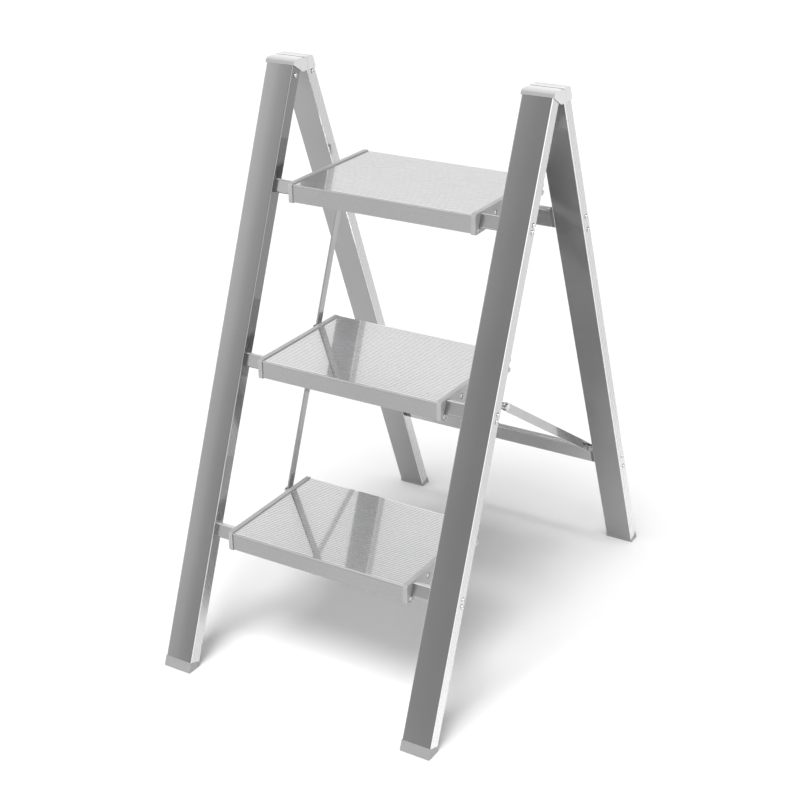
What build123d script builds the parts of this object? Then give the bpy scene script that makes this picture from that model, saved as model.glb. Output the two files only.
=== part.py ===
from build123d import *
import os
from math import acos, atan2, cos, degrees, hypot, radians, sin, tan

# Folding three-step aluminium stepladder, standing open.
# Origin: on the floor, midway between the front and rear feet and midway between the sides.
# +X is to the right of a person facing the steps, +Y points to the rear frame, +Z is up.
# A point on a frame is given by (u, v): v runs up along the stile from the floor line,
# u runs square into the ladder from the frame's outer face.

os.makedirs("parts", exist_ok=True)

# ---- driving dimensions, millimetres and degrees ----
stance = 775.0            # front foot edge to rear foot edge
lean = 21.4               # each frame's lean from upright
half_width = 249.0        # centre line to a stile's outer side
stile_width = 50.0        # wide face of every stile
front_depth = 24.25
rear_depth = 22.2
stile_wall = 1.5
stile_crown = 0.7         # bulge of the wide faces
stile_corner = 1.6
cavity_corner = 1.0
stile_top = 985.2         # v of the square-cut upper ends
front_cut = 18.0          # v of the square-cut lower ends
rear_cut = 13.75

cap_top = 925.0           # z of the level tops of the hinge caps
cap_slit = 3.6            # slit between the front and rear caps, where they stop each other
cap_edge = 5.5            # rounding of a cap's outer top edge
cap_fall = 1.2            # a cap's top falls this much from the slit to its outer edge
slit_edge = 1.0           # rounding of the top edges at the slit
plug_gap = 0.15
cap_plug = 33.0           # length of a cap's plug inside the stile
cheek = 1.5               # thickness of the cheeks at both ends of a cap
cheek_gap = 0.3           # between a front cap's cheek and the rear cap beside it
cheek_corner = 3.0        # rounding of a rear cheek's lower outer corner
rear_cheek_low = 902.5    # z of the rear cheeks' level lower edges

hinge_y = 0.8
hinge_z = 912.4
hinge_pin_r = 2.5
hinge_pin_depth = 0.7     # blind ends of the pin in the front cap's cheeks
knuckle_r = 10.5          # round part of a front cheek, on the hinge
barrel_r = 5.0
barrel_gap = 0.4
barrel_start = 213.0      # the rear cap's middle barrel lies between these
barrel_end = 235.0
running_gap = 0.05        # radial clearance of every turning fit
past = 1.0                # cutters run this far past what they cut

tread_pitch = 279.0       # step spacing along the stile
tread_low = 240.5         # v of the lowest tread's pivot
tread_u = 16.0            # u of every tread's pivot
deck_half = 162.0         # half length of the deck extrusion
deck_above = 12.7         # deck surface above the pivot
deck_front = 18.7         # lip in front of the pivot
deck_rear = 202.8         # rear edge behind the pivot
deck_plate = 2.5
lip_depth = 28.6
lip_hem = 7.0
flange_depth = 14.0
flange_hem = 6.0
hem_thick = 1.6
tread_wall = 1.9
deck_webs = (78.0, 140.0)  # stiffening webs under the deck, behind the pivot
web_depth = 10.0
web_foot = 8.0
thin_web = 2.0            # webs that carry the screw bosses and the axle tube
weld = 0.4                # overlap of webs with what they join
rib_pitch = 4.76
rib_margin = 5.0          # plain strip at the rear edge
groove_width = 1.1
groove_depth = 0.4
nose_r = 2.2
nose_line = 3.2           # thin groove along the lip, below the deck surface
nose_line_width = 0.5
axle_r = 5.0
axle_play = 0.2           # at each end, in the blocks' bores
axle_tube_r = 7.6
boss_r = 3.3
screw_r = 2.0
deck_screw_r = 1.5
deck_screw_head_r = 3.4
deck_screw_head = 1.6
deck_screw_reach = 14.0   # depth of an end screw in its boss
screw_a = (8.6, 25.3)     # behind the lip, below the deck
screw_b = (61.5, 12.0)
web_inset = 0.5           # webs stop this far inside the lip's front and the axle tube's middle

end_plate = 3.6           # end cap wall outside the deck's end
end_wrap = 4.0            # length of its rim over the deck
end_rise = 2.0            # rim above the deck
end_front = 1.5           # rim in front of the lip
end_low = 30.7            # rim's lower edge below the deck
end_toe = 4.0             # where that edge stops, behind the pivot
pocket_toe = 2.0          # where the pocket under it stops
end_rear_corner = 4.5
end_front_corner = 3.0
end_soft = 1.0            # rounding of its outer edge
recess_r = 4.75
recess_depth = 1.2

block_half = 11.0         # hinge block, half height along the stile
block_depth = 15.0
block_corner = 2.6
block_inner = 166.2
block_bore = 15.0
block_screw_half = 5.3
block_screw_end = 184.0

head_r = 4.2
head_height = 2.2
head_soft = 0.8
collar_soft = 0.4         # rounding of collars and rivet heads
cap_head_r = 3.8
cap_screw_length = 15.0
screw_play = 0.15         # clearance of a screw in a stile's wall

bar_height = 35.9         # rear crossbar section
bar_depth = 9.1
bar_u = 8.0
bar_half = 189.0
bar_corner = 2.6
bar_wall = 1.4
bar_low = 213.9
bar_high = 747.5
bar_screw_half = 12.5
bar_screw_end = 186.0
fitting_plug = 12.0
fitting_step = 0.25       # a fitting is this much smaller than the bar all round

link_x = 174.5            # inner face of a link bar
link_width = 12.6
link_thick = 3.0
link_back = 165.0         # link pivot behind each tread pivot
link_up = 1.0             # and above it
link_stud_r = 3.0
link_clear = 0.3
link_collar_r = 6.0       # collar between tread end and link
link_nut_r = 5.6
link_nut = 181.4          # x of a link stud's outer collar
link_stud_end = 183.8
link_tip_r = 3.4
rivet_r = 5.5             # flattened inner end of a link stud
rivet_height = 2.5

brace_x = 187.5           # inner face of a brace bar
brace_width = 14.0
brace_thick = 3.0
brace_low_u = 16.0        # lower pivot on the rear frame
brace_low_v = 238.5
brace_drop = 56.904       # upper pivot below the middle link pivot, along the link
brace_shift = -1.5        # and square to the link
brace_stud_r = 4.0
brace_collar_r = 6.4
brace_collar = 3.2
brace_head_r = 5.8
spacer_head_r = 5.0
spacer_head = 1.8
stud_end = 2.5            # what a brace stud shows inside the stile's wall

foot_plug = 26.0
foot_lip = 0.6            # the foot stands out this much beside the stile
foot_soft = 1.2
sole_grooves = 3
sole_groove = (2.2, 2.4)  # width, and twice the depth

# ---- derived values ----
half_stance = stance / 2
lean_sin = sin(radians(lean))
lean_cos = cos(radians(lean))
inner_side = half_width - stile_width
mid_side = half_width - stile_width / 2
sides = {"left": -1, "right": 1}
treads = {"bottom": tread_low, "middle": tread_low + tread_pitch, "top": tread_low + 2 * tread_pitch}


def front_point(u, v):
    """(y, z) of a point on the front frame."""
    return (-half_stance + v * lean_sin + u * lean_cos, v * lean_cos - u * lean_sin)


def rear_point(u, v):
    """(y, z) of a point on the rear frame."""
    return (half_stance - v * lean_sin - u * lean_cos, v * lean_cos - u * lean_sin)


def front_plane(v):
    """Plane square to the front stiles; local x is +X and local y is u."""
    y, z = front_point(0, v)
    return Plane(origin=(0, y, z), x_dir=(1, 0, 0), z_dir=(0, lean_sin, lean_cos))


def rear_plane(v):
    """Plane square to the rear stiles; local x is +X and local y is minus u."""
    y, z = rear_point(0, v)
    return Plane(origin=(0, y, z), x_dir=(1, 0, 0), z_dir=(0, -lean_sin, lean_cos))


def side_view(x):
    """Upright plane across the ladder; local x is +Y, local y is +Z, normal +X."""
    return Plane(origin=(x, 0, 0), x_dir=(0, 1, 0), z_dir=(1, 0, 0))


def finish(piece, label):
    """Label one finished piece and write it."""
    piece.part.label = label
    export_step(piece.part, f"parts/{label}.step")


def rods(spans, side):
    """Coaxial discs: each span is ((y, z), x start, x end, radius), on the given side."""
    for (y, z), start, end, radius in spans:
        with BuildSketch(side_view(side * start)) as disc:
            with Locations((y, z)):
                Circle(radius)
        extrude(disc.sketch, amount=side * (end - start))


def drill(points, start, end, radius, side):
    """Round holes along X through whatever the current part holds."""
    with BuildSketch(side_view(side * start)) as discs:
        with Locations(*points):
            Circle(radius)
    extrude(discs.sketch, amount=side * (end - start), mode=Mode.SUBTRACT)


def soften_collars(piece):
    """Round the rims of the collars and rivet heads of a turned piece."""
    rims = piece.edges().filter_by(GeomType.CIRCLE)
    fillet([rim for rim in rims if rim.radius > brace_stud_r + 0.5], collar_soft)


def stile(side, plane, length, depth, inward, holes, inner_holes):
    """Hollow stile with gently crowned wide faces, drilled for its screws and studs."""
    x0 = side * mid_side - stile_width / 2
    x1 = side * mid_side + stile_width / 2
    outer = inward * stile_crown
    inner = inward * (depth - stile_crown)
    with BuildPart() as piece:
        with BuildSketch(plane) as section:
            with BuildLine():
                ThreePointArc((x0, outer), (side * mid_side, 0), (x1, outer))
                Line((x1, outer), (x1, inner))
                ThreePointArc((x1, inner), (side * mid_side, inward * depth), (x0, inner))
                Line((x0, inner), (x0, outer))
            make_face()
            fillet(section.vertices(), stile_corner)
            with Locations((side * mid_side, inward * depth / 2)):
                RectangleRounded(stile_width - 2 * stile_wall, depth - 2 * stile_wall - stile_crown,
                                 cavity_corner, mode=Mode.SUBTRACT)
        extrude(amount=length)
        drill(holes, inner_side - past, half_width + past, screw_r + screw_play, side)
        for point, radius in inner_holes:
            drill([point], inner_side - past, inner_side + stile_wall + past, radius, side)
    return piece


def cavity_plug(side, plane, depth, inward, length):
    """Plug that fills a stile's hollow end, added to the current part."""
    with BuildSketch(plane) as section:
        with Locations((side * mid_side, inward * depth / 2)):
            RectangleRounded(stile_width - 2 * stile_wall - 2 * plug_gap,
                             depth - 2 * stile_wall - stile_crown - 2 * plug_gap, cavity_corner)
    extrude(section.sketch, amount=length)


# ---- stiles ----
front_cap_screw = front_point(12.0, 971.0)
rear_cap_screw = rear_point(9.0, 968.0)
block_screws = []
for height in treads.values():
    for offset in (-block_screw_half, block_screw_half):
        block_screws.append(front_point(tread_u, height + offset))
bar_screws = []
for height in (bar_low, bar_high):
    for offset in (-bar_screw_half, bar_screw_half):
        bar_screws.append(rear_point(bar_u, height + offset))
brace_low = rear_point(brace_low_u, brace_low_v)

for name, side in sides.items():
    front_stile = stile(side, front_plane(front_cut), stile_top - front_cut, front_depth, 1, block_screws,
                        [(front_cap_screw, screw_r)])
    finish(front_stile, f"front_stile_{name}")
    rear_stile = stile(side, rear_plane(rear_cut), stile_top - rear_cut, rear_depth, -1, bar_screws,
                       [(rear_cap_screw, screw_r), (brace_low, brace_stud_r)])
    finish(rear_stile, f"rear_stile_{name}")


# ---- hinge caps: the front and rear caps meet over the slit and share one pin ----
hinge = (hinge_y, hinge_z)


def cap_outline(x, corners, rounds):
    """Side outline of a cap at x; rounds lists the corners to round, with their radii."""
    with BuildSketch(side_view(x)) as outline:
        with BuildLine():
            Polyline(*corners, close=True)
        make_face()
        for corner, radius in rounds:
            fillet(outline.vertices().sort_by_distance(corner)[0], radius)
    return outline.sketch


def top_corners(point, inward):
    """Outer and slit-side corners of a cap's gently falling top."""
    outer_z = cap_top - cap_fall
    outer_y = point(0, outer_z / lean_cos)[0]
    return (outer_y, outer_z), (-inward * cap_slit / 2, cap_top)


def cap_block(point, depth, inward, start, end, side):
    """Block on a stile's square-cut end, with an upright face at the slit."""
    outer, slit = top_corners(point, inward)
    heel_y, heel_z = point(depth, stile_top)
    corners = [point(0, stile_top), outer, slit, (slit[0], heel_z), (heel_y, heel_z)]
    rounds = [(outer, cap_edge), (slit, slit_edge)]
    extrude(cap_outline(side * start, corners, rounds), amount=side * (end - start))


def front_cheek(start, end, side):
    """Cheek of a front cap: it slopes from the stile's top corner down to the round knuckle."""
    outer, slit = top_corners(front_point, 1)
    corner_y, corner_z = front_point(0, stile_top)
    reach = hypot(corner_y - hinge_y, corner_z - hinge_z)
    turn = atan2(corner_z - hinge_z, corner_y - hinge_y) + acos(knuckle_r / reach)
    touch = (hinge_y + knuckle_r * cos(turn), hinge_z + knuckle_r * sin(turn))
    corners = [(corner_y, corner_z), outer, slit, (slit[0], hinge_z), touch]
    rounds = [(outer, cap_edge), (slit, slit_edge)]
    extrude(cap_outline(side * start, corners, rounds), amount=side * (end - start))
    rods([(hinge, start, end, knuckle_r)], side)


def rear_cheek(start, end, side):
    """Cheek of a rear cap: level below, with a round cut for the front cheek's knuckle."""
    outer, slit = top_corners(rear_point, -1)
    low = (rear_point(0, rear_cheek_low / lean_cos)[0], rear_cheek_low)
    corners = [low, outer, slit, (slit[0], rear_cheek_low)]
    rounds = [(outer, cap_edge), (slit, slit_edge), (low, cheek_corner)]
    extrude(cap_outline(side * start, corners, rounds), amount=side * (end - start))
    drill([hinge], start, end, knuckle_r + barrel_gap, side)


def front_cap(side):
    """Front cap: the hinge's two outer barrels, and cheeks that hold the pin captive."""
    inner_x = inner_side - cheek_gap
    outer_x = half_width + cheek_gap
    with BuildPart() as piece:
        cap_block(front_point, front_depth, 1, inner_x, outer_x, side)
        cavity_plug(side, front_plane(stile_top), front_depth, 1, -cap_plug)
        rods([(hinge, inner_x, barrel_start, barrel_r), (hinge, barrel_end, outer_x, barrel_r)], side)
        drill([hinge], barrel_start, barrel_end, barrel_r + barrel_gap, side)
        front_cheek(inner_x, inner_x - cheek, side)
        front_cheek(outer_x, outer_x + cheek, side)
        drill([hinge], inner_x - hinge_pin_depth, outer_x + hinge_pin_depth, hinge_pin_r, side)
        drill([front_cap_screw], inner_side - past, inner_side + cap_screw_length + past, screw_r, side)
    return piece


def rear_cap(side):
    """Rear cap: the hinge's middle barrel, with room for the front cap's two barrels and knuckles."""
    reach = cheek_gap + cheek
    with BuildPart() as piece:
        cap_block(rear_point, rear_depth, -1, inner_side, half_width, side)
        cavity_plug(side, rear_plane(stile_top), rear_depth, -1, -cap_plug)
        drill([hinge], inner_side - past, barrel_start + barrel_gap, barrel_r + barrel_gap, side)
        drill([hinge], barrel_end - barrel_gap, half_width + past, barrel_r + barrel_gap, side)
        rods([(hinge, barrel_start + barrel_gap, barrel_end - barrel_gap, barrel_r)], side)
        rear_cheek(inner_side, inner_side - reach, side)
        rear_cheek(half_width, half_width + reach, side)
        drill([hinge], barrel_start, barrel_end, hinge_pin_r + running_gap, side)
        drill([rear_cap_screw], inner_side - past, inner_side + cap_screw_length + past, screw_r, side)
    return piece


for name, side in sides.items():
    finish(front_cap(side), f"front_cap_{name}")
    finish(rear_cap(side), f"rear_cap_{name}")

with BuildPart() as hinge_pins:
    for side in sides.values():
        pin_start = inner_side - cheek_gap - hinge_pin_depth
        pin_end = half_width + cheek_gap + hinge_pin_depth
        rods([(hinge, pin_start, pin_end, hinge_pin_r)], side)
finish(hinge_pins, "hinge_pins")


def pan_screws(points, head_x, end_x, radius):
    """Pan-head screws along X on both sides; the heads bear on head_x and the shanks end at end_x."""
    toward = -1 if end_x < head_x else 1
    for side in sides.values():
        for point in points:
            rods([(point, head_x - toward * head_height, head_x, radius),
                  (point, head_x, end_x, screw_r)], side)


def soften_heads(piece):
    """Round the rims of the screw heads that face away from the ladder."""
    rims = [edge for edge in piece.edges().filter_by(GeomType.CIRCLE) if edge.radius > screw_r + 1]
    fillet([edge for edge in rims if abs(edge.arc_center.X) > half_width + head_height / 2], head_soft)


with BuildPart() as front_cap_screws:
    pan_screws([front_cap_screw], inner_side, inner_side + cap_screw_length, cap_head_r)
finish(front_cap_screws, "front_cap_screws")

with BuildPart() as rear_cap_screws:
    pan_screws([rear_cap_screw], inner_side, inner_side + cap_screw_length, cap_head_r)
finish(rear_cap_screws, "rear_cap_screws")

with BuildPart() as block_screw_set:
    pan_screws(block_screws, half_width, block_screw_end, head_r)
    soften_heads(block_screw_set)
finish(block_screw_set, "hinge_block_screws")

with BuildPart() as bar_screw_set:
    pan_screws(bar_screws, half_width, bar_screw_end, head_r)
    soften_heads(bar_screw_set)
finish(bar_screw_set, "crossbar_screws")


# ---- feet: a wedge from the square-cut stile down to the floor, with a plug above ----
def foot(side, point, plane, cut, depth, inward):
    """Foot with its sole on the floor, a little wider than the stile."""
    toe = point(0, 0)[0]
    heel = point(depth, depth * tan(radians(lean)))[0]
    with BuildPart() as piece:
        with BuildSketch(side_view(side * (inner_side - foot_lip))):
            with BuildLine():
                Polyline(point(0, cut), (toe, 0), (heel, 0), point(depth, cut), close=True)
            make_face()
        extrude(amount=side * (stile_width + 2 * foot_lip))
        joint_face = piece.faces().sort_by(Axis((0, 0, 0), plane.z_dir))[-1]
        fillet(piece.edges() - joint_face.edges(), foot_soft)
        cavity_plug(side, plane, depth, inward, foot_plug)
        with BuildSketch(side_view(side * (inner_side - past))):
            for number in range(1, sole_grooves + 1):
                with Locations((toe + (heel - toe) * number / (sole_grooves + 1), 0)):
                    Rectangle(*sole_groove)
        extrude(amount=side * (stile_width + 2 * past), mode=Mode.SUBTRACT)
    return piece


for name, side in sides.items():
    front_foot = foot(side, front_point, front_plane(front_cut), front_cut, front_depth, 1)
    finish(front_foot, f"front_foot_{name}")
    rear_foot = foot(side, rear_point, rear_plane(rear_cut), rear_cut, rear_depth, -1)
    finish(rear_foot, f"rear_foot_{name}")


# ---- treads: hinge blocks on the stiles, one axle each, ribbed deck and moulded ends ----
def stile_box(height):
    """Plane of a hinge block's side outline: local x is u, local y is v, seen along X."""
    y, z = front_point(tread_u, height)
    return Plane(origin=(0, y, z), x_dir=(0, lean_cos, -lean_sin), z_dir=(1, 0, 0))


def hinge_block(side, height):
    """Block that carries one end of a tread's axle, screwed to the stile's inner side."""
    holes = [front_point(tread_u, height - block_screw_half), front_point(tread_u, height + block_screw_half)]
    with BuildPart() as piece:
        with BuildSketch(stile_box(height).offset(side * block_inner)):
            RectangleRounded(block_depth, 2 * block_half, block_corner)
        extrude(amount=side * (inner_side - block_inner))
        drill([front_point(tread_u, height)], block_inner - past, block_inner + block_bore, axle_r, side)
        drill(holes, block_screw_end, inner_side + past, screw_r, side)
    return piece


def deck_outline(y, z):
    """Corners of the tread's outside, as if it were filled."""
    top = z + deck_above
    return [(y - deck_front, top - lip_depth), (y - deck_front, top), (y + deck_rear, top),
            (y + deck_rear, top - flange_depth), (y + pocket_toe, top - lip_depth)]


def deck_strips(front, rear, top):
    """Plate, hemmed lip and hemmed rear flange of a tread, in the current sketch."""
    with Locations(((front + rear) / 2, top - deck_plate / 2)):
        Rectangle(rear - front, deck_plate)
    with Locations((front + tread_wall / 2, top - lip_depth / 2)):
        Rectangle(tread_wall, lip_depth)
    with Locations((front + lip_hem / 2, top - lip_depth + hem_thick / 2)):
        Rectangle(lip_hem, hem_thick)
    with Locations((rear - tread_wall / 2, top - flange_depth / 2)):
        Rectangle(tread_wall, flange_depth)
    with Locations((rear - flange_hem / 2, top - flange_depth + hem_thick / 2)):
        Rectangle(flange_hem, hem_thick)


def tread_deck(y, z):
    """One extrusion: ribbed plate, rounded nose, hemmed lip, rear flange, axle tube and screw bosses."""
    top = z + deck_above
    front = y - deck_front
    rear = y + deck_rear
    under = top - deck_plate
    boss_a = (front + screw_a[0], top - screw_a[1])
    boss_b = (front + screw_b[0], top - screw_b[1])
    with BuildPart() as piece:
        with BuildSketch(side_view(-deck_half)) as profile:
            deck_strips(front, rear, top)
            for web in deck_webs:
                with Locations((y + web, under - web_depth / 2 + weld / 2)):
                    Rectangle(hem_thick, web_depth + weld)
                with Locations((y + web, under - web_depth + hem_thick / 2)):
                    Rectangle(web_foot, hem_thick)
            with Locations((y, (z + under + weld) / 2)):
                Rectangle(thin_web, under + weld - z)
            with Locations(((front + y) / 2, z)):
                Rectangle(deck_front - 2 * web_inset, thin_web)
            with Locations((boss_b[0], (boss_b[1] + under + weld) / 2)):
                Rectangle(thin_web, under + weld - boss_b[1])
            with Locations(((front + boss_a[0]) / 2, boss_a[1])):
                Rectangle(screw_a[0] - 2 * web_inset, thin_web)
            with Locations(boss_a, boss_b):
                Circle(boss_r)
            with Locations((y, z)):
                Circle(axle_tube_r)
            with Locations((front, top)):
                Rectangle(2 * nose_r, 2 * nose_r, mode=Mode.SUBTRACT)
            with Locations((front + nose_r, top - nose_r)):
                Circle(nose_r)
            with Locations((y, z)):
                Circle(axle_r + running_gap, mode=Mode.SUBTRACT)
            with Locations(boss_a, boss_b):
                Circle(deck_screw_r, mode=Mode.SUBTRACT)
            groove_count = int((rear - front - 2 * rib_margin) / rib_pitch) + 1
            for number in range(groove_count):
                with Locations((rear - rib_margin - number * rib_pitch, top)):
                    Rectangle(groove_width, 2 * groove_depth, mode=Mode.SUBTRACT)
            with Locations((front, top - nose_line)):
                Rectangle(nose_line_width, nose_line_width, mode=Mode.SUBTRACT)
        extrude(amount=2 * deck_half)
    return piece


def tread_end(side, y, z):
    """Moulded end cap: a plate over the deck's end with a rim that wraps its outside."""
    top = z + deck_above
    front = y - deck_front
    rear = y + deck_rear
    seat = deck_half - end_wrap
    outside = deck_half + end_plate
    screws = [(front + screw_a[0], top - screw_a[1]), (front + screw_b[0], top - screw_b[1])]
    stud = (y + link_back, z + link_up)
    with BuildPart() as piece:
        with BuildSketch(side_view(side * seat)) as outline:
            with BuildLine():
                Polyline((front - end_front, top - end_low), (front - end_front, top + end_rise),
                         (rear + end_front, top + end_rise),
                         (rear + end_front, top - flange_depth - end_front),
                         (y + end_toe, top - end_low), close=True)
            make_face()
            fillet(outline.vertices().sort_by(Axis.Y)[-2:], end_rear_corner)
            fillet(outline.vertices().sort_by(Axis.Y)[:2], end_front_corner)
        extrude(amount=side * (outside - seat))
        fillet(piece.faces().sort_by(Axis.X)[0 if side < 0 else -1].edges(), end_soft)
        with BuildSketch(side_view(side * (seat - past))) as pocket:
            with BuildLine():
                Polyline(*deck_outline(y, z), close=True)
            make_face()
            nose = pocket.vertices().sort_by(Axis.X)[:2].sort_by(Axis.Y)[-1]
            fillet(nose, nose_r)
        extrude(amount=side * (end_wrap + past), mode=Mode.SUBTRACT)
        drill(screws, seat, outside + past, deck_screw_r, side)
        drill(screws, outside - recess_depth, outside + past, recess_r, side)
        drill([(y, z)], seat, outside + past, axle_r + barrel_gap, side)
        drill([stud], seat, outside + past, link_stud_r, side)
        drill([stud], seat - past, deck_half, rivet_r, side)
    return piece


for tread_name, height in treads.items():
    y, z = front_point(tread_u, height)
    for name, side in sides.items():
        finish(hinge_block(side, height), f"hinge_block_{tread_name}_{name}")
        finish(tread_end(side, y, z), f"tread_end_{tread_name}_{name}")
    finish(tread_deck(y, z), f"tread_deck_{tread_name}")

    axle_half = block_inner + block_bore - axle_play
    with BuildPart() as axle:
        with BuildSketch(side_view(-axle_half)):
            with Locations((y, z)):
                Circle(axle_r)
        extrude(amount=2 * axle_half)
    finish(axle, f"tread_axle_{tread_name}")

    head_seat = deck_half + end_plate - recess_depth
    screw_tip = deck_half - deck_screw_reach
    front = y - deck_front
    top = z + deck_above
    with BuildPart() as end_screws:
        for side in sides.values():
            for back, down in (screw_a, screw_b):
                place = (front + back, top - down)
                rods([(place, head_seat, head_seat + deck_screw_head, deck_screw_head_r),
                      (place, head_seat, screw_tip, deck_screw_r)], side)
    finish(end_screws, f"tread_end_screws_{tread_name}")

    stud = (y + link_back, z + link_up)
    with BuildPart() as link_studs:
        for side in sides.values():
            rods([(stud, deck_half - rivet_height, deck_half, rivet_r),
                  (stud, deck_half, deck_half + end_plate, link_stud_r),
                  (stud, deck_half + end_plate, link_x - link_clear, link_collar_r),
                  (stud, link_x - link_clear, link_x + link_thick + link_clear, link_stud_r),
                  (stud, link_x + link_thick + link_clear, link_nut, link_nut_r),
                  (stud, link_nut, link_stud_end, link_tip_r)], side)
        soften_collars(link_studs)
    finish(link_studs, f"link_studs_{tread_name}")


# ---- rear crossbars with an end fitting each side ----
def bar_section(gap):
    """Rounded crossbar section, local x is across the bar and local y is up the stile."""
    RectangleRounded(bar_depth - 2 * gap, bar_height - 2 * gap, bar_corner - gap)


def bar_plane(height, x):
    """Plane of a crossbar's section at x; local x is minus u, local y is v."""
    y, z = rear_point(bar_u, height)
    return Plane(origin=(x, y, z), x_dir=(0, lean_cos, lean_sin), z_dir=(1, 0, 0))


for bar_name, height in {"lower": bar_low, "upper": bar_high}.items():
    with BuildPart() as crossbar:
        with BuildSketch(bar_plane(height, -bar_half)):
            bar_section(0)
            RectangleRounded(bar_depth - 2 * bar_wall, bar_height - 2 * bar_wall, bar_corner - bar_wall,
                             mode=Mode.SUBTRACT)
        extrude(amount=2 * bar_half)
    finish(crossbar, f"crossbar_{bar_name}")
    screw_points = [rear_point(bar_u, height - bar_screw_half), rear_point(bar_u, height + bar_screw_half)]
    for name, side in sides.items():
        with BuildPart() as fitting:
            with BuildSketch(bar_plane(height, side * bar_half)):
                bar_section(fitting_step)
            extrude(amount=side * (inner_side - bar_half))
            with BuildSketch(bar_plane(height, side * bar_half)):
                RectangleRounded(bar_depth - 2 * bar_wall - 2 * plug_gap,
                                 bar_height - 2 * bar_wall - 2 * plug_gap, bar_corner - bar_wall - plug_gap)
            extrude(amount=-side * fitting_plug)
            drill(screw_points, bar_screw_end, inner_side + past, screw_r, side)
        finish(fitting, f"crossbar_fitting_{bar_name}_{name}")


# ---- links: one flat bar each side joins the three treads, parallel to the front stile ----
middle_y, middle_z = front_point(tread_u, treads["middle"])
link_middle = (middle_y + link_back, middle_z + link_up)
brace_high = (link_middle[0] + brace_shift * lean_cos - brace_drop * lean_sin,
              link_middle[1] - brace_shift * lean_sin - brace_drop * lean_cos)


def bar_between(start, end, x):
    """Plane of a flat bar at x, local x running from start to end, origin halfway."""
    middle = (x, (start[0] + end[0]) / 2, (start[1] + end[1]) / 2)
    return Plane(origin=middle, x_dir=(0, end[0] - start[0], end[1] - start[1]), z_dir=(1, 0, 0))


link_low = (link_middle[0] - tread_pitch * lean_sin, link_middle[1] - tread_pitch * lean_cos)
link_high = (link_middle[0] + tread_pitch * lean_sin, link_middle[1] + tread_pitch * lean_cos)
for name, side in sides.items():
    with BuildPart() as link:
        with BuildSketch(bar_between(link_low, link_high, side * link_x)):
            SlotCenterToCenter(2 * tread_pitch, link_width)
        extrude(amount=side * link_thick)
        link_holes = [link_low, link_middle, link_high]
        drill(link_holes, link_x - past, link_x + link_thick + past, link_stud_r + running_gap, side)
        drill([brace_high], link_x - past, link_x + link_thick + past, link_stud_r, side)
    finish(link, f"link_{name}")

    with BuildPart() as brace_spacer:
        rods([(brace_high, link_x - spacer_head, link_x, spacer_head_r),
              (brace_high, link_x, link_x + link_thick, link_stud_r),
              (brace_high, link_x + link_thick, brace_x - link_clear, link_collar_r)], side)
        soften_collars(brace_spacer)
    finish(brace_spacer, f"brace_spacer_{name}")


# ---- braces: one flat bar each side from the link to the rear stile ----
brace_length = hypot(brace_low[0] - brace_high[0], brace_low[1] - brace_high[1])
for name, side in sides.items():
    with BuildPart() as brace:
        with BuildSketch(bar_between(brace_high, brace_low, side * brace_x)):
            SlotCenterToCenter(brace_length, brace_width)
        extrude(amount=side * brace_thick)
        drill([brace_high], brace_x - past, brace_x + brace_thick + past, link_stud_r, side)
        drill([brace_low], brace_x - past, brace_x + brace_thick + past, brace_stud_r + running_gap, side)
    finish(brace, f"brace_{name}")

    with BuildPart() as brace_bolt:
        rods([(brace_high, brace_x, brace_x + brace_thick, link_stud_r),
              (brace_high, brace_x + brace_thick, brace_x + brace_thick + brace_collar, brace_head_r)], side)
        soften_collars(brace_bolt)
    finish(brace_bolt, f"brace_bolt_{name}")

with BuildPart() as brace_studs:
    for side in sides.values():
        rods([(brace_low, brace_x - link_clear - brace_collar, brace_x - link_clear, brace_collar_r),
              (brace_low, brace_x - link_clear, brace_x + brace_thick + link_clear, brace_stud_r),
              (brace_low, brace_x + brace_thick + link_clear, inner_side, brace_collar_r),
              (brace_low, inner_side, inner_side + stile_wall + stud_end, brace_stud_r)], side)
    soften_collars(brace_studs)
finish(brace_studs, "brace_studs")

lean_of_brace = degrees(atan2(brace_high[1] - brace_low[1], brace_high[0] - brace_low[0]))
print(f"brace {brace_length:.2f} long, {lean_of_brace:.2f} degrees from +Y")
print("hinge", hinge, "link pivots", link_low, link_middle, link_high)
print("brace pivots", brace_high, brace_low)
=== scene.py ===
from math import cos, pi, radians, sin

import bmesh
import bpy
from mathutils import Matrix, Vector


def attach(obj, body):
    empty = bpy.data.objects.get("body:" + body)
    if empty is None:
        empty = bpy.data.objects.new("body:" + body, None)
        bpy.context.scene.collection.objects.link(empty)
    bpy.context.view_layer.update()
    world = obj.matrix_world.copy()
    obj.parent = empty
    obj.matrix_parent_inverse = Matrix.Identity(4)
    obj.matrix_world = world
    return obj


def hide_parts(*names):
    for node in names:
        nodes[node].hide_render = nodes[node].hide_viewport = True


# Looks for a folding three-step aluminium stepladder, in metres, in the CAD frame:
# +X to the right of a person facing the steps, +Y to the rear frame, +Z up.

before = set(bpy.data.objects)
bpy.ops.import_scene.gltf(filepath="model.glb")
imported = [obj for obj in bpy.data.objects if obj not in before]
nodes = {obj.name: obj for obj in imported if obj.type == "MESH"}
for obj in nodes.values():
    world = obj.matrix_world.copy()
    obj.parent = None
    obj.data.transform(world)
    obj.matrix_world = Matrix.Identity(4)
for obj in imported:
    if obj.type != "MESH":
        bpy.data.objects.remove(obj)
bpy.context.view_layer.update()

lean = radians(21.4)            # each frame's lean from upright
brace_lean = radians(56.0)      # the braces' lean from upright
tread_names = ("bottom", "middle", "top")

# ---- node helpers ----
noise_range = (0.3, 0.7)        # where nearly all of a noise texture's values lie
blue_cast = 1.01                # blue over red and green in every grey


def material(name):
    """Empty node material: (material, node tree, output node)."""
    made = bpy.data.materials.new(name)
    made.use_nodes = True
    tree = made.node_tree
    tree.nodes.clear()
    return made, tree, tree.nodes.new("ShaderNodeOutputMaterial")


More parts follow.
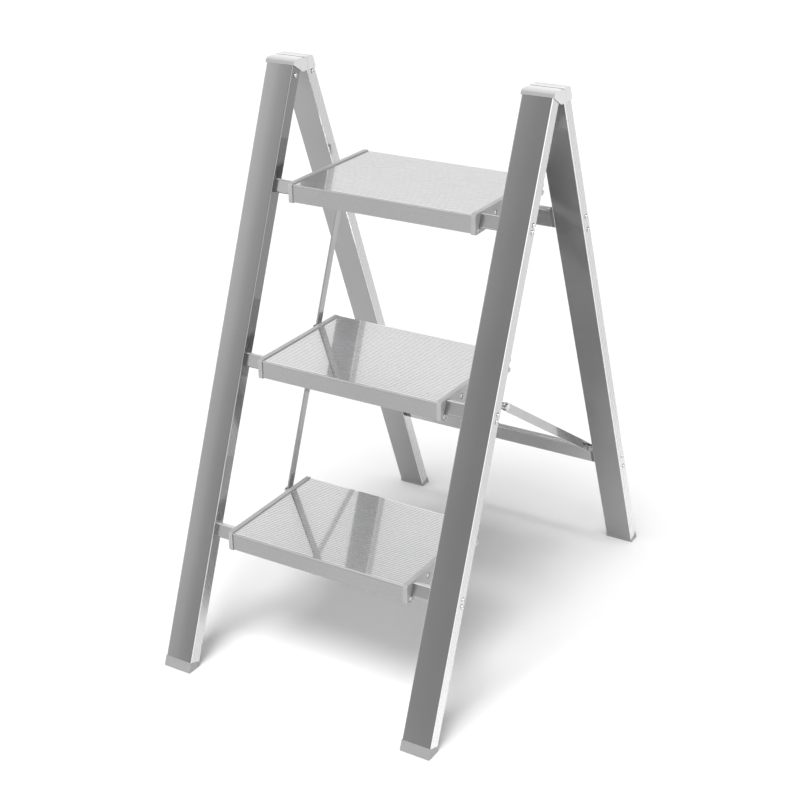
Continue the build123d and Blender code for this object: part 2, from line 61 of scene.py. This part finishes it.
def node(tree, kind, settings=None, **inputs):
    """New node with properties from settings and sockets from keywords (a value or another socket).

    A keyword is a socket's name with _ for each space, or i and the socket's number.
    """
    made = tree.nodes.new(kind)
    for key, value in (settings or {}).items():
        setattr(made, key, value)
    for key, value in inputs.items():
        numbered = key[0] == "i" and key[1:].isdigit()
        socket = made.inputs[int(key[1:]) if numbered else key.replace("_", " ")]
        if isinstance(value, bpy.types.NodeSocket):
            tree.links.new(value, socket)
        else:
            socket.default_value = value
    return made


def math_of(tree, operation, **values):
    return node(tree, "ShaderNodeMath", {"operation": operation}, **values).outputs[0]


def grey(level):
    return (level, level, level * blue_cast, 1.0)


def object_place(tree):
    return node(tree, "ShaderNodeTexCoord").outputs["Object"]


def noise(tree, place, scale, detail):
    return node(tree, "ShaderNodeTexNoise", Vector=place, Scale=scale, Detail=detail).outputs["Fac"]


def lines(tree, turn, stretch, scale):
    """Fine lines drawn along one direction of the object: noise squeezed along the stretch vector."""
    point = {"vector_type": "POINT"}
    turned = node(tree, "ShaderNodeMapping", point, Vector=object_place(tree), Rotation=(turn, 0, 0))
    squeezed = node(tree, "ShaderNodeMapping", point, Vector=turned.outputs[0], Scale=stretch)
    return noise(tree, squeezed.outputs[0], scale, detail=4.0)


def blotches(tree, scale, detail=3.0):
    """Broad cloudy variation over the object."""
    return noise(tree, object_place(tree), scale, detail)


def spread(tree, value, low, high):
    """Noise around its middle, spread over low to high."""
    start, stop = noise_range
    return node(tree, "ShaderNodeMapRange", Value=value, i1=start, i2=stop, i3=low, i4=high).outputs[0]


def ramp(tree, value, start, stop, low, high):
    """Smooth step of a value from low to high."""
    return node(tree, "ShaderNodeMapRange", {"interpolation_type": "SMOOTHSTEP"}, Value=value,
                i1=start, i2=stop, i3=low, i4=high).outputs[0]


def colour_between(tree, share, first, second):
    """Colour from first to second, each a colour or a socket."""
    return node(tree, "ShaderNodeMix", {"data_type": "RGBA"}, i0=share, i6=first, i7=second).outputs[2]


def tone(tree, share, low, high):
    """Grey colour between two levels."""
    return colour_between(tree, share, grey(low), grey(high))


def bump(tree, height, strength, distance):
    return node(tree, "ShaderNodeBump", Strength=strength, Distance=distance, Height=height).outputs[0]


def blend_shaders(tree, share, first, second):
    """Shader going from first to second."""
    return node(tree, "ShaderNodeMixShader", i0=share, i1=first, i2=second).outputs[0]


def facing(tree, axis, start, stop):
    """0 to 1 as the surface turns to face along an object axis, either way."""
    normal = node(tree, "ShaderNodeTexCoord").outputs["Normal"]
    part = node(tree, "ShaderNodeSeparateXYZ", Vector=normal).outputs[axis]
    return ramp(tree, math_of(tree, "ABSOLUTE", i0=part), start, stop, 0.0, 1.0)


def beyond(tree, axis, start, stop):
    """0 to 1 with the distance from the ladder's middle plane along an object axis."""
    part = node(tree, "ShaderNodeSeparateXYZ", Vector=object_place(tree)).outputs[axis]
    size = math_of(tree, "ABSOLUTE", i0=part)
    return node(tree, "ShaderNodeMapRange", Value=size, i1=start, i2=stop, i3=0.0, i4=1.0).outputs[0]


# ---- materials ----
# How squarely a surface faces along an axis, 0 to 1, where one finish, with its painted light or shade,
# starts and stops turning into the next.
stile_corner = (0.25, 0.40)     # wide face to rounded corner, along X
stile_side = (0.93, 0.985)      # rounded corner to narrow side, along X
deck_nose = (0.15, 0.40)        # lip to nose, along Z
deck_top = (0.95, 0.995)        # nose to top, along Z
bar_top = (0.60, 0.85)          # upright faces to upper face, along Z
cap_cheek = (0.3, 0.9)          # front or back to cheek, along X
cap_crown = (0.45, 0.98)        # upright faces to crown, along Z

# Distances, in metres, over which a painted light or shade tone changes.
inner_height = (0.50, 0.05)     # stiles' inner sides, from the upper end down to the floor
outer_height = (0.35, 0.05)     # and their outer sides
outer_reach = (0.215, 0.235)    # a stile's inner to its outer side, from the ladder's middle
slit_reach = (0.003, 0.022)     # a cap's crown, from the slit outwards, over which its painted highlight fades

# Polished aluminium is a mirror-like share over a satin one.
mirror_rough, satin_rough = 0.055, 0.26
mirror_swing, satin_swing = 0.015, 0.04     # how far the grain takes the roughness up or down
mirror_relief, satin_relief = 0.008, 0.02   # how strongly the drawn lines show
metal_bump = 0.0002             # depth of the drawn lines
wide_gloss = 0.25               # mirror-like share of the stiles' wide faces
corner_painted_highlight = 1.6               # painted highlight: tone of the stiles' inner corners over their inner sides

plastic_bump = 0.0001           # depth of the moulded grain
plastic_grain = 1500.0          # its fineness
plastic_index = 1.48            # refractive index
plastic_swing = 0.06            # how far the grain takes the roughness up or down


def metal(tree, grain, tone_share, tones, roughs, relief):
    """Aluminium surface whose tone follows the given share (mostly the broad variation; on the stiles' sides
    and corners a painted floor reflection) and whose roughness follows the grain.
    """
    shader = node(tree, "ShaderNodeBsdfPrincipled", Metallic=1.0, Base_Color=tone(tree, tone_share, *tones),
                  Roughness=spread(tree, grain, *roughs), Normal=bump(tree, grain, relief, metal_bump))
    return shader.outputs[0]


def polish(tree, grain, tone_share, tones, mirror_share, relief=1.0):
    """Bright rolled aluminium: a mirror-like share of the surface over a soft satin one."""
    mirror_roughs = (mirror_rough - mirror_swing * relief, mirror_rough + mirror_swing * relief)
    satin_roughs = (satin_rough - satin_swing * relief, satin_rough + satin_swing * relief)
    mirror = metal(tree, grain, tone_share, tones, mirror_roughs, mirror_relief * relief)
    satin = metal(tree, grain, tone_share, tones, satin_roughs, satin_relief * relief)
    return blend_shaders(tree, mirror_share, satin, mirror)


def stile_metal(name, turn, tones, roughs, inner_tone):
    """Extruded stile, drawn along it: grey satin wide faces; narrow sides and corners brighter partly from
    their polish and partly from painted reflection; painted highlight on the corners, painted shade on the
    inner sides, painted floor reflection towards the bottom.
    """
    made, tree, output = material(name)
    grain = lines(tree, turn, stretch=(1.0, 1.0, 0.015), scale=900.0)
    tone_share = spread(tree, blotches(tree, scale=5.0), 0.0, 1.0)
    satin = metal(tree, grain, tone_share, tones, roughs, relief=0.02)
    gloss = metal(tree, grain, tone_share, tones, roughs=(0.06, 0.10), relief=0.01)
    wide = blend_shaders(tree, wide_gloss, satin, gloss)
    # Painted reflection: the inner sides and inner corners grow brighter towards the floor, as if mirroring
    # it.
    painted_floor_glow = beyond(tree, "Z", *inner_height)
    away = beyond(tree, "X", *outer_reach)
    # Painted highlight: the rounded corners get a lighter tone than the sides beside them.
    inner_edge = polish(tree, grain, painted_floor_glow, tones=(corner_painted_highlight * inner_tone, 0.86), mirror_share=0.3)
    outer_edge = polish(tree, grain, tone_share, tones=(0.86, 0.90), mirror_share=0.3)
    edge = blend_shaders(tree, away, inner_edge, outer_edge)
    # Painted shade: the inner sides get a darker tone than the outer ones.
    inner = polish(tree, grain, painted_floor_glow, tones=(inner_tone, 0.62), mirror_share=0.7)
    # Painted reflection: the outer sides grow brighter towards the floor.
    painted_outer_floor_glow = beyond(tree, "Z", *outer_height)
    outer = polish(tree, grain, painted_outer_floor_glow, tones=(0.60, 0.84), mirror_share=0.7)
    side = blend_shaders(tree, away, inner, outer)
    corner = blend_shaders(tree, facing(tree, "X", *stile_corner), wide, edge)
    whole = blend_shaders(tree, facing(tree, "X", *stile_side), corner, side)
    tree.links.new(whole, output.inputs[0])
    return made


def deck_metal(name):
    """Ribbed tread, drawn along X: polished top, satin lip and flanges, with painted light: the top toned
    much lighter, the lip darker, the nose between.
    """
    made, tree, output = material(name)
    grain = lines(tree, 0.0, stretch=(0.02, 1.0, 1.0), scale=1100.0)
    tone_share = spread(tree, blotches(tree, scale=4.0), 0.0, 1.0)
    # Painted light and shade: the upward top gets a far lighter tone (0.80-0.86 range 0.80-0.84) than the
    # forward lip (0.37-0.40), and the rounded nose a tone between.
    top = polish(tree, grain, tone_share, tones=(0.80, 0.84), mirror_share=0.6, relief=0.25)
    lip = metal(tree, grain, tone_share, tones=(0.37, 0.40), roughs=(0.25, 0.33), relief=0.025)
    nose = metal(tree, grain, tone_share, tones=(0.50, 0.54), roughs=(0.50, 0.60), relief=0.03)
    front = blend_shaders(tree, facing(tree, "Z", *deck_nose), lip, nose)
    whole = blend_shaders(tree, facing(tree, "Z", *deck_top), front, top)
    tree.links.new(whole, output.inputs[0])
    return made


def bar_metal(name, turn, stretch, tones, mirror_share):
    """Polished flat bar, tube or block, drawn along the stretch direction, whose satin upper face carries a
    painted highlight.
    """
    made, tree, output = material(name)
    grain = lines(tree, turn, stretch, scale=900.0)
    tone_share = spread(tree, blotches(tree, scale=9.0), 0.0, 1.0)
    flat = polish(tree, grain, tone_share, tones, mirror_share, relief=0.2)
    # Painted highlight: the upper face gets a lighter tone (0.80-0.86) than the upright faces.
    top = metal(tree, grain, tone_share, tones=(0.80, 0.86), roughs=(0.50, 0.60), relief=0.02)
    tree.links.new(blend_shaders(tree, facing(tree, "Z", *bar_top), flat, top), output.inputs[0])
    return made


def moulded(tree, output, colour, roughs, relief):
    """Plastic with a fine spark-eroded grain."""
    grain = blotches(tree, plastic_grain, detail=5.0)
    shader = node(tree, "ShaderNodeBsdfPrincipled", IOR=plastic_index, Base_Color=colour,
                  Roughness=spread(tree, grain, *roughs), Normal=bump(tree, grain, relief, plastic_bump))
    tree.links.new(shader.outputs[0], output.inputs[0])


def plastic(name, tones, rough):
    """Moulded plastic of one grey with a faint broad variation."""
    made, tree, output = material(name)
    tone_share = spread(tree, blotches(tree, scale=30.0), 0.0, 1.0)
    roughs = (rough - plastic_swing, rough + plastic_swing)
    moulded(tree, output, tone(tree, tone_share, *tones), roughs, relief=0.15)
    return made


def cap_painted_light(name):
    """Silver-grey cap with painted light: painted light on the cheeks, painted shade on fronts and backs, and
    a crown with a painted highlight that brightens towards the slit.
    """
    made, tree, output = material(name)
    # Painted light and shade: cheeks toned lighter (0.66) than fronts and backs (0.34).
    upright = tone(tree, facing(tree, "X", *cap_cheek), low=0.34, high=0.66)
    # Painted highlight: the crown lightens from 0.56 to 0.82 towards the slit.
    crown = tone(tree, beyond(tree, "Y", *slit_reach), low=0.82, high=0.56)
    colour = colour_between(tree, facing(tree, "Z", *cap_crown), upright, crown)
    moulded(tree, output, colour, roughs=(0.30, 0.42), relief=0.12)
    return made


def steel(name, tones, roughs):
    """Zinc-plated steel with faint turning marks."""
    made, tree, output = material(name)
    grain = blotches(tree, scale=2500.0)
    tone_share = spread(tree, blotches(tree, scale=120.0), 0.0, 1.0)
    shader = metal(tree, grain, tone_share, tones, roughs, relief=0.08)
    tree.links.new(shader, output.inputs[0])
    return made


along_stile = (1.0, 1.0, 0.02)
along_x = (0.02, 1.0, 1.0)
# Painted shade: the front stiles' inner sides get a far darker tone (0.22) than the rear stiles' (0.55).
front_metal = stile_metal("front_extrusion", -lean, tones=(0.285, 0.31), roughs=(0.16, 0.23), inner_tone=0.22)
rear_metal = stile_metal("rear_extrusion", lean, tones=(0.34, 0.37), roughs=(0.28, 0.35), inner_tone=0.55)
tread_metal = deck_metal("ribbed_tread")
crossbar_metal = bar_metal("crossbar_tube", 0.0, along_x, tones=(0.58, 0.63), mirror_share=0.3)
link_metal = bar_metal("link_bar", -lean, along_stile, tones=(0.38, 0.42), mirror_share=0.5)
brace_metal = bar_metal("brace_bar", brace_lean, along_stile, tones=(0.46, 0.52), mirror_share=0.5)
block_metal = bar_metal("hinge_block_metal", 0.0, along_x, tones=(0.42, 0.46), mirror_share=0.2)
cap_plastic_painted_light = cap_painted_light("cap_plastic_painted_light")
foot_plastic = plastic("foot_plastic", tones=(0.28, 0.32), rough=0.42)
end_plastic = plastic("tread_end_plastic", tones=(0.36, 0.40), rough=0.30)
fitting_plastic = plastic("fitting_plastic", tones=(0.16, 0.19), rough=0.45)
screw_steel = steel("screw_steel", tones=(0.66, 0.74), roughs=(0.12, 0.24))
pin_steel = steel("pin_steel", tones=(0.50, 0.58), roughs=(0.22, 0.34))

# Each node takes the first finish that its name starts with, so longer names come before their beginnings.
finishes = [
    ("front_stile", front_metal), ("rear_stile", rear_metal),
    ("tread_deck", tread_metal), ("tread_axle", pin_steel),
    ("tread_end_screws", screw_steel), ("tread_end", end_plastic),
    ("crossbar_fitting", fitting_plastic), ("crossbar_screws", screw_steel), ("crossbar", crossbar_metal),
    ("link_studs", pin_steel), ("link", link_metal),
    ("brace_spacer", pin_steel), ("brace_studs", pin_steel), ("brace_bolt", screw_steel),
    ("brace", brace_metal),
    ("hinge_block_screws", screw_steel), ("hinge_block", block_metal), ("hinge_pins", pin_steel),
    ("front_cap_screws", screw_steel), ("rear_cap_screws", screw_steel),
    ("front_cap", cap_plastic_painted_light), ("rear_cap", cap_plastic_painted_light),
    ("front_foot", foot_plastic), ("rear_foot", foot_plastic),
]


def finish_for(name):
    """A node's finish."""
    for prefix, made in finishes:
        if name.startswith(prefix):
            return made
    raise ValueError(f"no finish for {name}")


for name, thing in nodes.items():
    thing.data.materials.clear()
    thing.data.materials.append(finish_for(name))

# ---- screws: domed heads with a cross recess, in place of the plain ones ----
segments = 48                   # around a screw
weld = 1e-6                     # vertices closer than this belong together
smooth_angle = radians(38)
frame_head, frame_shank = 0.0022, 0.0020    # head's height and shank's radius, in the frames
tread_head, tread_shank = 0.0016, 0.0015    # and in the treads' ends
dome_height = 0.55              # of the head's height
dome_shares = (0.62, 0.76, 0.88, 0.96)      # of the head's radius, at the rings on the dome
head_edge = 0.0001              # bevel at the foot of the head
recess_rim = 0.5                # of the head's radius, where the recess breaks through the dome
recess_depth = 0.75             # of the head's height
recess_floor = 0.55             # size of the recess at its bottom, of its size at the rim
arm_reach = 0.56                # length of a cross arm, of the head's radius
arm_half = 0.17                 # and half its width
arm_corner = 2.6                # distance of the corner between two arms, in half widths
corner_from = pi / 5            # angle off an arm from where the corner counts
least_sine = 1e-3
turn_by_y, turn_by_z = 977.0, 1733.0        # each cross is turned by its screw's place


def islands(thing):
    """Boxes (low corner, high corner) of the separate solids in a node."""
    mesh = bmesh.new()
    mesh.from_mesh(thing.data)
    bmesh.ops.remove_doubles(mesh, verts=mesh.verts, dist=weld)
    waiting = set(mesh.verts)
    boxes = []
    while waiting:
        reached = [waiting.pop()]
        found = []
        while reached:
            vert = reached.pop()
            found.append(vert.co.copy())
            for edge in vert.link_edges:
                other = edge.other_vert(vert)
                if other in waiting:
                    waiting.remove(other)
                    reached.append(other)
        boxes.append((Vector(map(min, zip(*found))), Vector(map(max, zip(*found)))))
    mesh.free()
    return sorted(boxes, key=lambda box: tuple(box[0]))


def cross(angle, half, reach):
    """Radius of a cross-shaped recess at an angle: arms of a half width, out to reach."""
    turn = abs((angle + pi / 4) % (pi / 2) - pi / 4)
    corner = half * arm_corner if turn > corner_from else reach
    return min(reach, half / max(sin(turn), least_sine), corner)


def dome_drop(share, dome):
    """How far the domed face lies below its crown at a share of the head's radius."""
    return dome * (1 - (1 - share * share) ** 0.5)


def screw_rings(radius, head, shank, length):
    """Rings from the bottom of the recess over the domed head to the tip: (depth, radius by angle)."""
    reach, half = radius * arm_reach, radius * arm_half
    dome = dome_height * head
    rings = [(head * recess_depth, lambda angle: recess_floor * cross(angle, half, reach)),
             (dome_drop(recess_rim, dome), lambda angle: cross(angle, half, reach))]
    for share in dome_shares:
        rings.append((dome_drop(share, dome), lambda angle, share=share: radius * share))
    rounds = [(dome, radius), (head - head_edge, radius), (head, radius - head_edge), (head, shank),
              (length, shank)]
    for depth, size in rounds:
        rings.append((depth, lambda angle, size=size: size))
    return rings


def add_screw(mesh, box, outward, head, radius, shank):
    """One screw along X whose head faces outward (+1 or -1 along X), inside its CAD box."""
    low, high = box
    centre_y, centre_z = (low.y + high.y) / 2, (low.z + high.z) / 2
    face = high.x if outward > 0 else low.x
    turn = (low.y * turn_by_y + low.z * turn_by_z) % (pi / 2)
    loops = []
    for depth, size in screw_rings(radius, head, shank, length=high.x - low.x):
        loop = []
        for number in range(segments):
            angle = 2 * pi * number / segments
            away = size(angle)
            loop.append(mesh.verts.new((face - outward * depth, centre_y + away * cos(angle + turn),
                                        centre_z + away * sin(angle + turn))))
        loops.append(loop)
    for first, second in zip(loops, loops[1:]):
        for number in range(segments):
            after = (number + 1) % segments
            mesh.faces.new((first[number], first[after], second[after], second[number]))
    mesh.faces.new(loops[0])
    mesh.faces.new(loops[-1])


def screw_set(name, node_name, body, inward=False):
    """Detailed screws in place of a CAD node that holds a group of them."""
    head, shank = (tread_head, tread_shank) if "tread_end" in node_name else (frame_head, frame_shank)
    mesh = bmesh.new()
    for box in islands(nodes[node_name]):
        middle = box[0].x + box[1].x
        outward = (1 if middle > 0 else -1) * (-1 if inward else 1)
        radius = (box[1].z - box[0].z) / 2
        add_screw(mesh, box, outward, head, radius, shank)
    bmesh.ops.recalc_face_normals(mesh, faces=mesh.faces)
    data = bpy.data.meshes.new(name)
    mesh.to_mesh(data)
    mesh.free()
    piece = bpy.data.objects.new(name, data)
    bpy.context.scene.collection.objects.link(piece)
    for face in data.polygons:
        face.use_smooth = True
    data.set_sharp_from_angle(angle=smooth_angle)
    data.materials.append(screw_steel)
    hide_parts(node_name)
    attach(piece, body)


screw_set("block_screw_heads", "hinge_block_screws", "front_frame")
screw_set("crossbar_screw_heads", "crossbar_screws", "rear_frame")
screw_set("front_cap_screw_heads", "front_cap_screws", "front_frame", inward=True)
screw_set("rear_cap_screw_heads", "rear_cap_screws", "rear_frame", inward=True)
for tread in tread_names:
    screw_set(f"tread_screw_heads_{tread}", f"tread_end_screws_{tread}", f"tread_{tread}")

# ---- floor, light and camera ----
# Brightness of the surroundings, and the directions (parts of a unit vector) between which it changes.
wall_front, wall_back = 0.80, 1.34
wall_turn = (-0.90, -0.62)      # along Y, front to back
wall_right = 0.7                # added at the right
right_turn = (0.45, 0.95)       # along X
wall_left = 0.9                 # added at the front left
left_turn = (-0.74, -0.46)      # along X, full to none
left_end = (-0.45, -0.15)       # along Y, full to none
ceiling = 0.03                  # share of the walls' brightness overhead
ceiling_turn = (0.46, 0.68)     # along Z

key_strength = 2.7
key_softness = radians(30.0)    # across
key_forward = radians(25.0)     # in front of overhead
key_right = radians(4.0)        # and to the right of it

floor_half = 40.0
floor_tone = (0.93, 0.93, 0.93, 1.0)

camera_place = Vector((1.19825, -2.01359, 1.45066))
camera_yaw, camera_pitch, camera_roll = radians(31.351), radians(24.574), radians(-0.729)
camera_sensor = 36.0            # millimetres
camera_lens = 70.24


def build_floor():
    """Large pale floor."""
    mesh = bpy.data.meshes.new("floor")
    corners = [(-1, -1), (1, -1), (1, 1), (-1, 1)]
    mesh.from_pydata([(floor_half * x, floor_half * y, 0) for x, y in corners], [], [(0, 1, 2, 3)])
    floor = bpy.data.objects.new("floor", mesh)
    bpy.context.scene.collection.objects.link(floor)
    made, tree, output = material("floor_white")
    shader = node(tree, "ShaderNodeBsdfPrincipled", Roughness=0.9, Base_Color=floor_tone,
                  Specular_IOR_Level=0.1)
    tree.links.new(shader.outputs[0], output.inputs[0])
    mesh.materials.append(made)


def build_world():
    """Studio surroundings: bright walls, brightest to the right, a dimmer front and a dim ceiling."""
    world = bpy.data.worlds.new("studio")
    bpy.context.scene.world = world
    world.use_nodes = True
    tree = world.node_tree
    tree.nodes.clear()
    output = tree.nodes.new("ShaderNodeOutputWorld")
    direction = node(tree, "ShaderNodeTexCoord").outputs["Generated"]
    part = node(tree, "ShaderNodeSeparateXYZ", Vector=direction).outputs
    wall = ramp(tree, part["Y"], *wall_turn, wall_front, wall_back)
    right = ramp(tree, part["X"], *right_turn, 0.0, wall_right)
    before = ramp(tree, part["Y"], *left_end, wall_left, 0.0)
    left = math_of(tree, "MULTIPLY", i0=before, i1=ramp(tree, part["X"], *left_turn, 1.0, 0.0))
    both = math_of(tree, "ADD", i0=right, i1=left)
    walls = math_of(tree, "ADD", i0=wall, i1=both)
    fade = ramp(tree, part["Z"], *ceiling_turn, 1.0, ceiling)
    level = math_of(tree, "MULTIPLY", i0=walls, i1=fade)
    background = node(tree, "ShaderNodeBackground", Strength=level)
    tree.links.new(background.outputs[0], output.inputs[0])


def build_key():
    """Broad key light overhead, a little to the front."""
    lamp = bpy.data.lights.new("key", "SUN")
    lamp.energy = key_strength
    lamp.angle = key_softness
    holder = bpy.data.objects.new("key", lamp)
    holder.rotation_euler = (key_forward, key_right, 0)
    bpy.context.scene.collection.objects.link(holder)


def build_camera():
    """Standing viewer in front, to the right, looking down at the steps."""
    yaw, pitch, roll = camera_yaw, camera_pitch, camera_roll
    ahead = Vector((-sin(yaw) * cos(pitch), cos(yaw) * cos(pitch), -sin(pitch)))
    level = Vector((cos(yaw), sin(yaw), 0))
    above = level.cross(ahead)
    right = level * cos(roll) + above * sin(roll)
    up = above * cos(roll) - level * sin(roll)
    camera = bpy.data.cameras.new("camera")
    camera.sensor_width = camera_sensor
    camera.lens = camera_lens
    holder = bpy.data.objects.new("camera", camera)
    holder.matrix_world = Matrix((
        (right.x, up.x, -ahead.x, camera_place.x),
        (right.y, up.y, -ahead.y, camera_place.y),
        (right.z, up.z, -ahead.z, camera_place.z),
        (0, 0, 0, 1)))
    bpy.context.scene.collection.objects.link(holder)
    bpy.context.scene.camera = holder


build_floor()
build_world()
build_key()
build_camera()
bpy.context.scene.view_settings.view_transform = "Standard"
